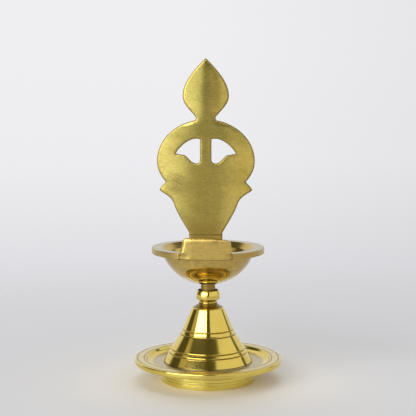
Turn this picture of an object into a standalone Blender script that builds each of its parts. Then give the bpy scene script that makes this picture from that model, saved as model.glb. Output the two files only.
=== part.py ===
"""Brass standing oil lamp: a turned foot, a hollow cone stem, an oil bowl and a cast back plate.

The lamp stands on its foot ring at z = 0 with its axis on +Z, and the plain side of its back plate
faces -Y. All the sizes below are in millimetres, and the meshes are made in metres.
"""

import bpy
import bmesh
from math import acos, asin, cos, pi, radians, sin, sqrt, tan
from mathutils import Matrix, Vector
from mathutils.geometry import interpolate_bezier

MM = 0.001
GAP = 0.3               # between pieces that touch
THREAD_CLEARANCE = 0.2  # round a screw thread, which is drawn as a plain cylinder
TURN_SIDES = 48         # sides of the large turned pieces
SMALL_SIDES = 24        # sides of the screws, the nut and the washer

# Foot and dish
DISH_RADIUS = 35.0
DISH_HEIGHT = 11.0
DISH_WALL = 1.9
DISH_DEPTH = 2.0
RIM_EDGE = 2.6          # thickness of the dish's rim
LIP_INSET = 5.3         # from the rim's edge to the top of the well's curved side
WELL_REACH = 3.3        # how far in that side reaches
FOOT_SHARE = 0.64       # foot radius over dish radius
FOOT_WALL = 2.6
FOOT_GROOVES = (0.31, 0.505, 0.7)   # heights up the foot ring
EDGE_GROOVE_INSET = 0.95
INNER_GROOVE_INSET = 4.4

# Cone stem: each break in its flank is (share of its height, share of its spread)
CONE_SHARE = 0.606      # base radius over dish radius
CONE_RISE = 25.6        # from its base to the shoulder
CONE_WALL = 2.0
LOW_BREAK = (0.205, 0.783)
HIGH_BREAK = (0.54, 0.376)
LOW_GROOVES = (0.172, 0.238)
HIGH_GROOVES = (0.515, 0.598)
GROOVE_WIDTH = 0.7
GROOVE_DEPTH = 0.3
CEILING_DROP = 4.4      # from the shoulder down to the hollow's ceiling
CEILING_INSET = 6.0     # of the ceiling's edge, inside the upper break
SHOULDER_RADIUS = 7.6
SHOULDER_CORNER = 0.8
SHOULDER_SLOPE = 0.55
NECK_BASE_RADIUS = 4.6
NECK_RADIUS = 3.9
RING_HEIGHT = 0.5
COLLAR_RISE = 8.4       # from the shoulder to the collar's top
COLLAR_HEIGHT = 4.3
CUP_DEPTH = 2.8
CUP_CLEARANCE = 1.1     # round the spigot, inside the collar
MOUTH_FLARE = 0.4       # from the cup's wall to the collar's mouth
COLLAR_WALL = 0.75      # from the mouth to the collar's widest

# Spigot and its thread
SPIGOT_RADIUS = 3.45
SPIGOT_SHOWN = 2.7      # between the collar's top and the bowl
THREAD_RADIUS = 2.4
THREAD_LENGTH = 6.6
TENON_RADIUS = 2.0
TENON_HEAD_RADIUS = 3.1
TENON_HEAD_HEIGHT = 1.0
TENON_SEAT = 0.5        # clearance under its head

# Tie stud, washer and nut, with lengths as shares of the room under the dish
STUD_RADIUS = 2.4
STUD_FOOT_SHARE = 0.169
WASHER_RADIUS = 6.5
WASHER_SHARE = 0.169
NUT_ACROSS_FLATS = 8.0
NUT_SHARE = 0.507

# Bowl
BOWL_HEIGHT = 18.0
BOWL_WALL = 1.9
RIM_RADIUS = 26.67
RIM_WIDTH = 4.67
RIM_THICKNESS = 2.7
SPHERE_SHARE = 0.87     # bowl's outer sphere over the rim's radius
STOP_ANGLE = -2.4       # where the bowl's thread pulls up tight, in degrees about +Z

# Bracket on the rim
BRACKET_FOOT_WIDTH = 24.0
BRACKET_TOP_WIDTH = 22.0
BRACKET_THICKNESS = 3.0
BRACKET_RISE = 7.2      # above the rim's top
BRACKET_CORNER = 1.8
CHANNEL_DEPTH = 1.8

# Back plate: levels are shares of its height above the rim's top, widths are from its middle line
PLATE_RISE = 88.0
PLATE_THICKNESS = 2.6
PLATE_EDGE = 0.5
FINIAL_LEVEL = 0.8068
FINIAL_HALF_WIDTH = 10.35
NECK_LEVEL = 0.6966
NECK_HALF_WIDTH = 4.3
HEAD_LEVEL = 0.4773
HEAD_HALF_WIDTH = 22.0
HEAD_RISE_SHARE = 0.2136
HEAD_DROP_SHARE = 0.1818
HEAD_START = 0.22       # radians from the top of the head to where the neck joins it
HEAD_END = 0.96         # radians from its bottom to the notch above the side point
NOTCH_LEVEL = 0.3727
POINT_LEVEL = 0.3307
POINT_HALF_WIDTH = 20.9
WAIST_LEVEL = 0.258
WAIST_HALF_WIDTH = 14.3
TONGUE_LEVEL = 0.1114
TONGUE_HALF_WIDTH = 7.5
BAR_HALF_WIDTH = 2.55
OPENING_TIP_SHARE = 0.607   # of the head's half width
OPENING_STEP_SHARE = 0.432

# Heights and radii that follow from the sizes above
FOOT_RADIUS = DISH_RADIUS * FOOT_SHARE
LIP_RADIUS = DISH_RADIUS - LIP_INSET
WELL_RADIUS = LIP_RADIUS - WELL_REACH
DISH_FLOOR = DISH_HEIGHT - DISH_DEPTH
DISH_UNDERSIDE = DISH_FLOOR - DISH_WALL
CONE_RADIUS = DISH_RADIUS * CONE_SHARE
CONE_BASE = DISH_FLOOR + GAP
SHOULDER_HEIGHT = CONE_BASE + CONE_RISE
NECK_BASE = SHOULDER_HEIGHT + (SHOULDER_RADIUS - NECK_BASE_RADIUS) * SHOULDER_SLOPE
COLLAR_TOP = SHOULDER_HEIGHT + COLLAR_RISE
CUP_FLOOR = COLLAR_TOP - CUP_DEPTH
CUP_RADIUS = SPIGOT_RADIUS + CUP_CLEARANCE
MOUTH_RADIUS = CUP_RADIUS + MOUTH_FLARE
COLLAR_RADIUS = MOUTH_RADIUS + COLLAR_WALL
BORE_RADIUS = THREAD_RADIUS + THREAD_CLEARANCE
CONE_CEILING = SHOULDER_HEIGHT - CEILING_DROP
SPIGOT_FOOT = CUP_FLOOR + GAP - THREAD_LENGTH
STUD_TOP = SPIGOT_FOOT - GAP
STUD_FOOT = DISH_UNDERSIDE * STUD_FOOT_SHARE
STUD_HOLE_RADIUS = STUD_RADIUS + GAP
WASHER_TOP = DISH_UNDERSIDE - GAP
WASHER_BOTTOM = WASHER_TOP - DISH_UNDERSIDE * WASHER_SHARE
NUT_TOP = WASHER_BOTTOM - GAP
NUT_BOTTOM = NUT_TOP - DISH_UNDERSIDE * NUT_SHARE
BOWL_BOTTOM = COLLAR_TOP + SPIGOT_SHOWN
BOWL_SPHERE_RADIUS = RIM_RADIUS * SPHERE_SHARE
INNER_SPHERE_RADIUS = BOWL_SPHERE_RADIUS - BOWL_WALL
SPHERE_HEIGHT = BOWL_BOTTOM + BOWL_SPHERE_RADIUS
RIM_TOP = BOWL_BOTTOM + BOWL_HEIGHT
RIM_UNDERSIDE = RIM_TOP - RIM_THICKNESS
RIM_OPENING = RIM_RADIUS - RIM_WIDTH
BRACKET_FACE = -RIM_RADIUS
BRACKET_BACK = BRACKET_FACE + BRACKET_THICKNESS
RIM_FLAT = BRACKET_BACK + GAP
BRACKET_TOP = RIM_TOP + BRACKET_RISE
PLATE_FACE = BRACKET_BACK - CHANNEL_DEPTH + GAP
PLATE_BACK = PLATE_FACE + PLATE_THICKNESS
TONGUE_FOOT = RIM_UNDERSIDE + GAP
HEAD_HEIGHT = RIM_TOP + PLATE_RISE * HEAD_LEVEL


# Outlines

def fillet(before, corner, after, radius, steps):
    """An arc of the given radius in place of a corner."""
    back = (before - corner).normalized()
    ahead = (after - corner).normalized()
    half = back.angle(ahead) / 2
    centre = corner + (back + ahead).normalized() * radius / sin(half)
    start = corner + back * radius / tan(half) - centre
    end = corner + ahead * radius / tan(half) - centre
    turn = 1 if start.x * end.y - start.y * end.x > 0 else -1
    sweep = turn * (pi - 2 * half)
    return [centre + Matrix.Rotation(sweep * k / steps, 2) @ start for k in range(steps + 1)]


def rounded(corners, steps=3):
    """Points of a closed outline, from corners given as (x, y) or (x, y, fillet radius)."""
    points = []
    for i, corner in enumerate(corners):
        here = Vector(corner[:2])
        if len(corner) == 3:
            before = Vector(corners[i - 1][:2])
            after = Vector(corners[(i + 1) % len(corners)][:2])
            points += fillet(before, here, after, corner[2], steps)
        else:
            points.append(here)
    return points


def sphere_section(radius, hole_radius, steps):
    """Points round the bowl's sphere from the hole in its bottom up to the rim's underside."""
    first = asin(hole_radius / radius)
    last = acos((SPHERE_HEIGHT - RIM_UNDERSIDE) / radius)
    angles = [first + (last - first) * k / steps for k in range(steps + 1)]
    return [(radius * sin(angle), SPHERE_HEIGHT - radius * cos(angle)) for angle in angles]


def groove(start, end, height):
    """A V groove cut square into the straight flank from start to end, at a height on it."""
    start, end = Vector(start), Vector(end)
    along = (end - start).normalized()
    inward = Vector((-along.y, along.x))
    centre = start + along * (height - start.y) / along.y
    half = along * GROOVE_WIDTH / 2
    return [centre - half, centre + inward * GROOVE_DEPTH, centre + half]


def flat_groove(radius, height):
    """A V groove in a flat top face, met while going inwards."""
    half = GROOVE_WIDTH / 2
    return [(radius + half, height), (radius, height - GROOVE_DEPTH), (radius - half, height)]


def curve(*handles, steps=6):
    """Points of a Bezier curve without its first point."""
    start, leave, arrive, end = [Vector(handle) for handle in handles]
    return interpolate_bezier(start, leave, arrive, end, steps + 1)[1:]


# Solids

def finish(obj, colour, roughness):
    """Give a piece its own brass and smooth its turned faces."""
    brass = bpy.data.materials.new(obj.name + "_brass")
    brass.use_nodes = True
    shader = brass.node_tree.nodes["Principled BSDF"]
    shader.inputs["Base Color"].default_value = (*colour, 1)
    shader.inputs["Metallic"].default_value = 1
    shader.inputs["Roughness"].default_value = roughness
    obj.data.materials.append(brass)
    obj.data.shade_smooth()
    obj.data.set_sharp_from_angle(angle=radians(35))


def add_object(name, mesh, parent=None):
    """Turn a bmesh into an object of the given name."""
    bmesh.ops.recalc_face_normals(mesh, faces=mesh.faces)
    data = bpy.data.meshes.new(name)
    mesh.to_mesh(data)
    mesh.free()
    obj = bpy.data.objects.new(name, data)
    obj.parent = parent
    bpy.context.scene.collection.objects.link(obj)
    return obj


def turned(name, outline, sides, parent=None):
    """Spin half a section, given as (radius, height), about the Z axis.

    A section whose two ends lie on the axis makes a solid piece, and any other makes a ring.
    """
    mesh = bmesh.new()
    verts = [mesh.verts.new((radius * MM, 0, height * MM)) for radius, height in outline]
    solid = outline[0][0] == 0 and outline[-1][0] == 0
    ends = verts[1:] if solid else verts[1:] + verts[:1]
    edges = [mesh.edges.new(pair) for pair in zip(verts, ends)]
    bmesh.ops.spin(mesh, geom=verts + edges, cent=(0, 0, 0), axis=(0, 0, 1), angle=2 * pi,
                   steps=sides, use_merge=False, use_duplicate=False)
    bmesh.ops.remove_doubles(mesh, verts=mesh.verts, dist=0.0001 * MM)
    return add_object(name, mesh, parent)


def extruded(name, outlines, front, back, parent=None):
    """Extrude a flat face in XZ, with holes for any outline after the first, along Y."""
    mesh = bmesh.new()
    edges = []
    for outline in outlines:
        verts = [mesh.verts.new((x * MM, front * MM, z * MM)) for x, z in outline]
        edges += [mesh.edges.new(pair) for pair in zip(verts, verts[1:] + verts[:1])]
    bmesh.ops.triangle_fill(mesh, edges=edges, use_beauty=True)
    made = bmesh.ops.extrude_face_region(mesh, geom=mesh.faces[:])
    moved = [item for item in made["geom"] if isinstance(item, bmesh.types.BMVert)]
    bmesh.ops.translate(mesh, verts=moved, vec=(0, (back - front) * MM, 0))
    return add_object(name, mesh, parent)


def cut_box(target, low, high, parent=None):
    """Cut a box, given by two corners in millimetres, out of a piece."""
    mesh = bmesh.new()
    bmesh.ops.create_cube(mesh, size=1)
    size = [(b - a) * MM for a, b in zip(low, high)]
    centre = [(a + b) / 2 * MM for a, b in zip(low, high)]
    bmesh.ops.scale(mesh, vec=size, verts=mesh.verts)
    bmesh.ops.translate(mesh, vec=centre, verts=mesh.verts)
    cutter = add_object(target.name + "_cutter", mesh, parent)
    cutter.hide_render = True
    cutter.display_type = "WIRE"
    cut = target.modifiers.new("cut", "BOOLEAN")
    cut.operation = "DIFFERENCE"
    cut.solver = "EXACT"
    cut.object = cutter


def break_edges(obj, width, segments):
    """Round a cast piece's sharp edges."""
    bevel = obj.modifiers.new("broken_edges", "BEVEL")
    bevel.width = width * MM
    bevel.segments = segments
    bevel.limit_method = "ANGLE"
    bevel.angle_limit = radians(50)
    bevel.use_clamp_overlap = True


# Pieces of the stand

def make_base_plate():
    """Cast dish on a foot ring, turned all over, with a hole for the tie stud."""
    foot_inside = FOOT_RADIUS - FOOT_WALL
    rim_underside = DISH_HEIGHT - RIM_EDGE
    lip_foot = (LIP_RADIUS - 0.2 * WELL_REACH, DISH_HEIGHT - 0.55 * DISH_DEPTH)
    corners = [(STUD_HOLE_RADIUS, DISH_UNDERSIDE), (foot_inside, DISH_UNDERSIDE, 0.8),
               (foot_inside, 0, 0.3), (FOOT_RADIUS, 0, 0.4)]
    for share in FOOT_GROOVES:
        corners += groove((FOOT_RADIUS, 0), (FOOT_RADIUS, DISH_UNDERSIDE), DISH_UNDERSIDE * share)
    corners += [(FOOT_RADIUS, DISH_UNDERSIDE), (LIP_RADIUS, rim_underside, 1.5),
                (DISH_RADIUS, rim_underside, 0.8), (DISH_RADIUS, DISH_HEIGHT, 0.8)]
    corners += flat_groove(DISH_RADIUS - EDGE_GROOVE_INSET, DISH_HEIGHT)
    corners += flat_groove(DISH_RADIUS - INNER_GROOVE_INSET, DISH_HEIGHT)
    corners += [(LIP_RADIUS, DISH_HEIGHT, 0.3), lip_foot]
    corners += curve(lip_foot, (lip_foot[0] - 0.15 * WELL_REACH, DISH_FLOOR + 0.1 * DISH_DEPTH),
                     (WELL_RADIUS + 0.25 * WELL_REACH, DISH_FLOOR), (WELL_RADIUS, DISH_FLOOR), steps=4)
    corners += [(STUD_HOLE_RADIUS, DISH_FLOOR)]
    finish(turned("base_plate", rounded(corners), TURN_SIDES), (0.71, 0.55, 0.25), 0.22)


def cone_level(share):
    """Height of a share of the way up the cone."""
    return CONE_BASE + CONE_RISE * share


def cone_flank():
    """Corners of the cone's three straight stretches, from its base up to the shoulder."""
    spread = CONE_RADIUS - SHOULDER_RADIUS
    low = (SHOULDER_RADIUS + spread * LOW_BREAK[1], cone_level(LOW_BREAK[0]))
    high = (SHOULDER_RADIUS + spread * HIGH_BREAK[1], cone_level(HIGH_BREAK[0]))
    return [(CONE_RADIUS, CONE_BASE), low, high, (SHOULDER_RADIUS, SHOULDER_HEIGHT)]


def make_stem_cone():
    """Hollow turned cone with a solid neck, drilled and tapped right through."""
    base, low, high, shoulder = cone_flank()
    low_grooves = [cone_level(share) for share in LOW_GROOVES]
    high_grooves = [cone_level(share) for share in HIGH_GROOVES]
    ring = (NECK_BASE_RADIUS, NECK_BASE + RING_HEIGHT)
    bead = (COLLAR_RADIUS - 0.25, COLLAR_TOP - COLLAR_HEIGHT)
    mouth = (MOUTH_RADIUS, COLLAR_TOP)
    corners = [base, *groove(base, low, low_grooves[0]), low, *groove(low, high, low_grooves[1]),
               *groove(low, high, high_grooves[0]), high, *groove(high, shoulder, high_grooves[1]),
               (*shoulder, SHOULDER_CORNER), (NECK_BASE_RADIUS, NECK_BASE), ring]
    corners += curve(ring, (NECK_RADIUS, ring[1] + 0.2), (NECK_RADIUS, bead[1] - 0.4), bead)
    corners += curve(bead, (COLLAR_RADIUS + 0.25, bead[1] + 0.14 * COLLAR_HEIGHT),
                     (COLLAR_RADIUS + 0.05, COLLAR_TOP - 0.26 * COLLAR_HEIGHT), mouth, steps=4)
    corners += [(CUP_RADIUS, COLLAR_TOP - 0.3), (CUP_RADIUS, CUP_FLOOR), (BORE_RADIUS, CUP_FLOOR),
                (BORE_RADIUS, CONE_CEILING), (high[0] - CEILING_INSET, CONE_CEILING),
                (high[0] - CONE_WALL, high[1] - 1.0), (low[0] - CONE_WALL, low[1]),
                (CONE_RADIUS - CONE_WALL - 0.4, CONE_BASE)]
    finish(turned("stem_cone", rounded(corners), TURN_SIDES), (0.76, 0.58, 0.22), 0.12)


def make_tie_stud():
    """Threaded stud that pulls the cone down on the dish."""
    outline = rounded([(0, STUD_FOOT), (STUD_RADIUS, STUD_FOOT, 0.4), (STUD_RADIUS, STUD_TOP, 0.4),
                       (0, STUD_TOP)], steps=1)
    finish(turned("tie_stud", outline, SMALL_SIDES), (0.62, 0.48, 0.24), 0.35)


def make_tie_washer():
    """Plain washer under the dish."""
    outline = rounded([(STUD_HOLE_RADIUS, WASHER_BOTTOM), (WASHER_RADIUS, WASHER_BOTTOM, 0.2),
                       (WASHER_RADIUS, WASHER_TOP, 0.2), (STUD_HOLE_RADIUS, WASHER_TOP)], steps=1)
    finish(turned("tie_washer", outline, SMALL_SIDES), (0.64, 0.50, 0.26), 0.3)


def make_tie_nut():
    """Hexagon nut: a ring of faces between a hexagon and a round bore."""
    bore = STUD_RADIUS + THREAD_CLEARANCE
    mesh = bmesh.new()
    rings = []
    for height in (NUT_BOTTOM, NUT_TOP):
        for hexagon in (True, False):
            ring = []
            for k in range(SMALL_SIDES):
                angle = 2 * pi * k / SMALL_SIDES
                from_flat = (angle + pi / 6) % (pi / 3) - pi / 6
                reach = NUT_ACROSS_FLATS / 2 / cos(from_flat) if hexagon else bore
                ring.append(mesh.verts.new((reach * cos(angle) * MM, reach * sin(angle) * MM, height * MM)))
            rings.append(ring)
    low_out, low_in, high_out, high_in = rings
    for one, other in ((low_out, low_in), (low_in, high_in), (high_in, high_out), (high_out, low_out)):
        for k in range(SMALL_SIDES):
            after = (k + 1) % SMALL_SIDES
            mesh.faces.new((one[k], one[after], other[after], other[k]))
    finish(add_object("tie_nut", mesh), (0.64, 0.49, 0.24), 0.32)


# Pieces that unscrew

def make_spigot():
    """Plain peg under the bowl: thread below, and a tenon riveted over inside the bowl."""
    shoulder = CUP_FLOOR + GAP
    seat = SPHERE_HEIGHT - sqrt(BOWL_SPHERE_RADIUS ** 2 - SPIGOT_RADIUS ** 2) - GAP
    seat_middle = BOWL_BOTTOM - GAP
    head_bottom = BOWL_BOTTOM + BOWL_WALL + TENON_SEAT
    outline = rounded([(0, SPIGOT_FOOT), (THREAD_RADIUS, SPIGOT_FOOT, 0.5), (THREAD_RADIUS, shoulder),
                       (SPIGOT_RADIUS, shoulder, 0.2), (SPIGOT_RADIUS, seat),
                       (TENON_RADIUS, seat_middle), (TENON_RADIUS, head_bottom),
                       (TENON_HEAD_RADIUS, head_bottom),
                       (TENON_HEAD_RADIUS, head_bottom + TENON_HEAD_HEIGHT, 0.8),
                       (0, head_bottom + TENON_HEAD_HEIGHT)], steps=2)
    finish(turned("spigot", outline, SMALL_SIDES), (0.47, 0.38, 0.20), 0.4)


def make_oil_bowl(parent):
    """Round bowl with a wide flat rim, and a flat cut on the rim's edge for the bracket."""
    hole = TENON_RADIUS + GAP
    outside = sphere_section(BOWL_SPHERE_RADIUS, hole, 9)
    inside = sphere_section(INNER_SPHERE_RADIUS, hole, 8)
    corners = [*outside, (RIM_RADIUS, RIM_UNDERSIDE, 0.3), (RIM_RADIUS, RIM_TOP, 0.4),
               (RIM_OPENING, RIM_TOP, 0.3), *inside[::-1]]
    bowl = turned("oil_bowl", rounded(corners, steps=2), TURN_SIDES, parent)
    cut_box(bowl, (-RIM_RADIUS, RIM_FLAT - RIM_RADIUS, RIM_UNDERSIDE - 2),
            (RIM_RADIUS, RIM_FLAT, RIM_TOP + 2), parent)
    finish(bowl, (0.68, 0.52, 0.24), 0.28)


def make_plate_bracket(parent):
    """Thick tab brazed on the rim's flat, with a channel down its back for the plate's tongue."""
    foot = BRACKET_FOOT_WIDTH / 2
    top = BRACKET_TOP_WIDTH / 2
    outline = rounded([(-foot, RIM_UNDERSIDE), (foot, RIM_UNDERSIDE),
                       (top, BRACKET_TOP, BRACKET_CORNER), (-top, BRACKET_TOP, BRACKET_CORNER)])
    bracket = extruded("plate_bracket", [outline], BRACKET_FACE, BRACKET_BACK, parent)
    side = TONGUE_HALF_WIDTH + GAP
    cut_box(bracket, (-side, BRACKET_BACK - CHANNEL_DEPTH, RIM_UNDERSIDE - 2),
            (side, BRACKET_BACK + 2, BRACKET_TOP + 2), parent)
    finish(bracket, (0.66, 0.50, 0.24), 0.42)


def plate_level(share):
    """Height of a share of the way up the plate, above the rim."""
    return RIM_TOP + PLATE_RISE * share


def plate_half_outline():
    """Right half of the plate's outline, from the tip down to the tongue's foot."""
    tip = (0, plate_level(1))
    finial = (FINIAL_HALF_WIDTH, plate_level(FINIAL_LEVEL))
    neck = (NECK_HALF_WIDTH, plate_level(NECK_LEVEL))
    point = (POINT_HALF_WIDTH, plate_level(POINT_LEVEL))
    waist = (WAIST_HALF_WIDTH, plate_level(WAIST_LEVEL))
    tongue = (TONGUE_HALF_WIDTH, plate_level(TONGUE_LEVEL))
    points = [Vector(tip)]
    points += curve(tip, (0.778 * finial[0], tip[1] - 7.9), (finial[0], finial[1] + 4.4), finial)
    points += curve(finial, (finial[0], finial[1] - 4.2), (neck[0], neck[1] + 1.4), neck)
    start = pi / 2 - HEAD_START
    notch_angle = -pi / 2 + HEAD_END
    for k in range(15):
        angle = start + (notch_angle - start) * k / 14
        reach = HEAD_RISE_SHARE if angle > 0 else HEAD_DROP_SHARE
        points.append(Vector((HEAD_HALF_WIDTH * cos(angle), HEAD_HEIGHT + PLATE_RISE * reach * sin(angle))))
    notch = tuple(points[-1])
    points += curve(notch, (notch[0] + 0.3, plate_level(NOTCH_LEVEL) - 0.8),
                    (point[0] - 0.6, point[1] + 1.6), point, steps=3)
    points += curve(point, (point[0] - 0.85, point[1] - 1.4), (waist[0] + 1.35, waist[1] + 4.0), waist)
    points += curve(waist, (waist[0] - 1.0, waist[1] - 3.7), (tongue[0] + 1.5, tongue[1] + 2.8), tongue,
                    steps=4)
    points.append(Vector((TONGUE_HALF_WIDTH, TONGUE_FOOT)))
    return points


def plate_opening(side):
    """Outline of one opening beside the middle bar: round above, swept like a leaf below."""
    inner_top = (BAR_HALF_WIDTH, HEAD_HEIGHT + 9.9)
    tip = (HEAD_HALF_WIDTH * OPENING_TIP_SHARE, HEAD_HEIGHT + 3.4)
    step = (HEAD_HALF_WIDTH * OPENING_STEP_SHARE, HEAD_HEIGHT + 2.7)
    lowest = (BAR_HALF_WIDTH + 1.75, HEAD_HEIGHT - 1.0)
    inner_foot = (BAR_HALF_WIDTH, HEAD_HEIGHT + 0.6)
    points = [Vector(inner_top)]
    points += curve(inner_top, (0.554 * tip[0], tip[1] + 8.2), (tip[0] + 0.25, tip[1] + 1.2), tip, steps=7)
    points.append(Vector(step))
    points += curve(step, (step[0] - 1.3, step[1] - 0.5), (lowest[0] + 2.3, lowest[1]), lowest, steps=4)
    points += curve(lowest, (lowest[0] - 1.0, lowest[1]), (BAR_HALF_WIDTH, inner_foot[1] - 0.8),
                    inner_foot, steps=2)
    return [(side * point.x, point.y) for point in points]


def make_back_plate(parent):
    """Flat cast plate with two openings, two side points and a leaf-shaped finial."""
    right = plate_half_outline()
    left = [Vector((-point.x, point.y)) for point in right[:0:-1]]
    plate = extruded("back_plate", [right + left, plate_opening(1), plate_opening(-1)],
                     PLATE_FACE, PLATE_BACK, parent)
    break_edges(plate, PLATE_EDGE, 2)
    cut_box(plate, (-RIM_RADIUS, BRACKET_BACK, TONGUE_FOOT - 2),
            (RIM_RADIUS, PLATE_BACK + 2, RIM_TOP + GAP), parent)
    finish(plate, (0.74, 0.57, 0.25), 0.3)


def make_lamp():
    """Clear the scene and build every piece where it belongs."""
    for obj in list(bpy.data.objects):
        bpy.data.objects.remove(obj)
    make_base_plate()
    make_stem_cone()
    make_tie_stud()
    make_tie_washer()
    make_tie_nut()
    make_spigot()
    bowl_axis = bpy.data.objects.new("bowl_axis", None)
    bowl_axis.rotation_euler.z = radians(STOP_ANGLE)
    bpy.context.scene.collection.objects.link(bowl_axis)
    make_oil_bowl(bowl_axis)
    make_plate_bracket(bowl_axis)
    make_back_plate(bowl_axis)


make_lamp()
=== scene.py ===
"""Looks of the brass standing oil lamp: finely turned, cast and filed pieces in worked brass.

Sizes are in millimetres, in the lamp's own frame: its axis is +Z, it stands at z = 0, and the plain
side of its back plate faces -Y.
"""

from math import acos, asin, cos, degrees, exp, hypot, pi, radians, sin, sqrt, tan

import bpy
import bmesh
from mathutils import Matrix, Vector, kdtree, noise
from mathutils.geometry import delaunay_2d_cdt, interpolate_bezier


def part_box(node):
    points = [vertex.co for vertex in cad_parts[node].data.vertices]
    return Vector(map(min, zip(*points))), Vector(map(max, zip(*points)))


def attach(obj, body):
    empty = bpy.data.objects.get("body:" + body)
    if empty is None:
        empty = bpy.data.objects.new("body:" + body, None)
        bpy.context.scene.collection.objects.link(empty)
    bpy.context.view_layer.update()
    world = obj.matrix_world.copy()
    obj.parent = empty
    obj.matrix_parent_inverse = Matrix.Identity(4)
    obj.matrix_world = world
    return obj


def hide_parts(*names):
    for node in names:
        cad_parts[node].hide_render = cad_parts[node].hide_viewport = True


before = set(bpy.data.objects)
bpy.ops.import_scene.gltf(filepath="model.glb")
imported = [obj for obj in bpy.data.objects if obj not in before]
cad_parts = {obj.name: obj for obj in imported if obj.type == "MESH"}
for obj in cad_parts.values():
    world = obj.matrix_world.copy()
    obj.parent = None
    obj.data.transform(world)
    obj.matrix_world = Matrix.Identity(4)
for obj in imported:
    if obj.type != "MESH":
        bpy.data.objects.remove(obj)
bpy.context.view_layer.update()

MM = 0.001
TURN_SIDES = 192


# Sizes read from the frame, in millimetres

def size_of(node):
    """Lowest and highest corner of a CAD node, in millimetres."""
    low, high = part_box(node)
    return low / MM, high / MM


DISH_HIGH = size_of("base_plate")[1]
CONE_LOW, CONE_HIGH = size_of("stem_cone")
BOWL_HIGH = size_of("oil_bowl")[1]
PEG_LOW, PEG_HIGH = size_of("spigot")
NUT_LOW, NUT_HIGH = size_of("tie_nut")
WASHER_LOW, WASHER_HIGH = size_of("tie_washer")
STUD_LOW, STUD_HIGH = size_of("tie_stud")

DISH_RADIUS = DISH_HIGH.x
DISH_TOP = DISH_HIGH.z
DISH_FLOOR = DISH_TOP - 2.0
DISH_UNDERSIDE = DISH_FLOOR - 1.9
RIM_EDGE = 2.6
FOOT_RADIUS = 0.64 * DISH_RADIUS
FOOT_INSIDE = FOOT_RADIUS - 2.6
LIP_RADIUS = DISH_RADIUS - 5.3
WELL_REACH = 3.3
STUD_HOLE = 2.7

CONE_RADIUS = CONE_HIGH.x
CONE_BASE = CONE_LOW.z
COLLAR_TOP = CONE_HIGH.z
CONE_RISE = COLLAR_TOP - CONE_BASE - 8.4
SHOULDER = (7.6, CONE_BASE + CONE_RISE)
LOW_BREAK = (0.205, 0.783)
HIGH_BREAK = (0.54, 0.376)
LOW_GROOVES = (0.172, 0.238)
HIGH_GROOVES = (0.515, 0.598)
NECK_BASE = (4.6, SHOULDER[1] + 1.65)
COLLAR_HEIGHT = 4.3
COLLAR_RADIUS = 5.7
MOUTH_RADIUS = 4.95
CUP_RADIUS = 4.55
CUP_FLOOR = COLLAR_TOP - 2.8

BOWL_BOTTOM = COLLAR_TOP + 2.7
RIM_RADIUS = 26.67
RIM_TOP = BOWL_HIGH.z
RIM_UNDERSIDE = RIM_TOP - 2.7
RIM_OPENING = 22.0
SPHERE_RADIUS = 0.87 * RIM_RADIUS
SPHERE_HEIGHT = BOWL_BOTTOM + SPHERE_RADIUS
BOWL_WALL = 1.9
STOP_ANGLE = radians(-2.4)

SPIGOT_RADIUS = PEG_HIGH.x
THREAD_RADIUS = 2.4
THREAD_PITCH = 1.25

PLATE_FACE = -25.17
PLATE_BACK = -22.57
HEAD_HEIGHT = 106.0
HEAD_RADIUS = 22.0
HEAD_FOOT = 101.0
BEADS_TOP = 124.0
BEAD_STEP = 5.2  # degrees between beads round the head
LEAF_FOOT = 127.0
TONGUE_HALF = 7.5

# The bracket's tab: its reach to each side, its rise over the rim and its channel for the plate
TAB_LEFT = -12.4
TAB_RIGHT = 12.0
TAB_RISE = 7.3
TAB_THICKNESS = 3.0
CHANNEL_HALF = 7.8
CHANNEL_GAP = 0.28
BRACKET_SEAT = -23.62  # the flat on the rim's edge that the bracket sits against

CAMERA_LENS = 97.88
CAMERA_DISTANCE = 531.3
CAMERA_HEIGHT = 137.7
CAMERA_DIP = 5.94  # degrees below level


# Materials

def linear(hex_colour):
    """An sRGB hex colour as linear RGBA."""
    parts = [int(hex_colour[k:k + 2], 16) / 255 for k in (1, 3, 5)]
    return [c / 12.92 if c <= 0.04045 else ((c + 0.055) / 1.055) ** 2.4 for c in parts] + [1]


def add(tree, kind, inputs=None, **settings):
    """Add a node: settings are its own, and each input is a value or a socket to link from."""
    node = tree.nodes.new(kind)
    for name, value in settings.items():
        setattr(node, name, value)
    for name, value in (inputs or {}).items():
        if isinstance(value, bpy.types.NodeSocket):
            tree.links.new(value, node.inputs[name])
        else:
            node.inputs[name].default_value = value
    return node


def ramp(tree, factor, stops):
    """A colour ramp from (place, hex colour) stops."""
    node = add(tree, "ShaderNodeValToRGB", {"Fac": factor})
    elements = node.color_ramp.elements
    while len(elements) < len(stops):
        elements.new(0.5)
    for element, (place, colour) in zip(elements, stops):
        element.position = place
        element.color = linear(colour)
    return node.outputs["Color"]


def maths(tree, operation, *values):
    """One arithmetic step."""
    return add(tree, "ShaderNodeMath", dict(enumerate(values)), operation=operation).outputs[0]


def object_place(tree):
    """Where a point lies in the lamp's frame, in metres."""
    return add(tree, "ShaderNodeTexCoord").outputs["Object"]


def axis_distance(tree, split):
    """Distance from the lamp's axis, from a separated place."""
    squares = [maths(tree, "POWER", split.outputs[name], 2.0) for name in "XY"]
    return maths(tree, "POWER", maths(tree, "ADD", *squares), 0.5)


def stretched_noise(tree, place, size, **settings):
    """Noise whose grain has a size in mm along X, Y and Z."""
    stretch = add(tree, "ShaderNodeMapping", {"Vector": place, "Scale": [1 / (s * MM) for s in size]})
    return add(tree, "ShaderNodeTexNoise", {"Vector": stretch.outputs["Vector"], "Scale": 1.0,
                                            **settings}).outputs["Fac"]


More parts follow.
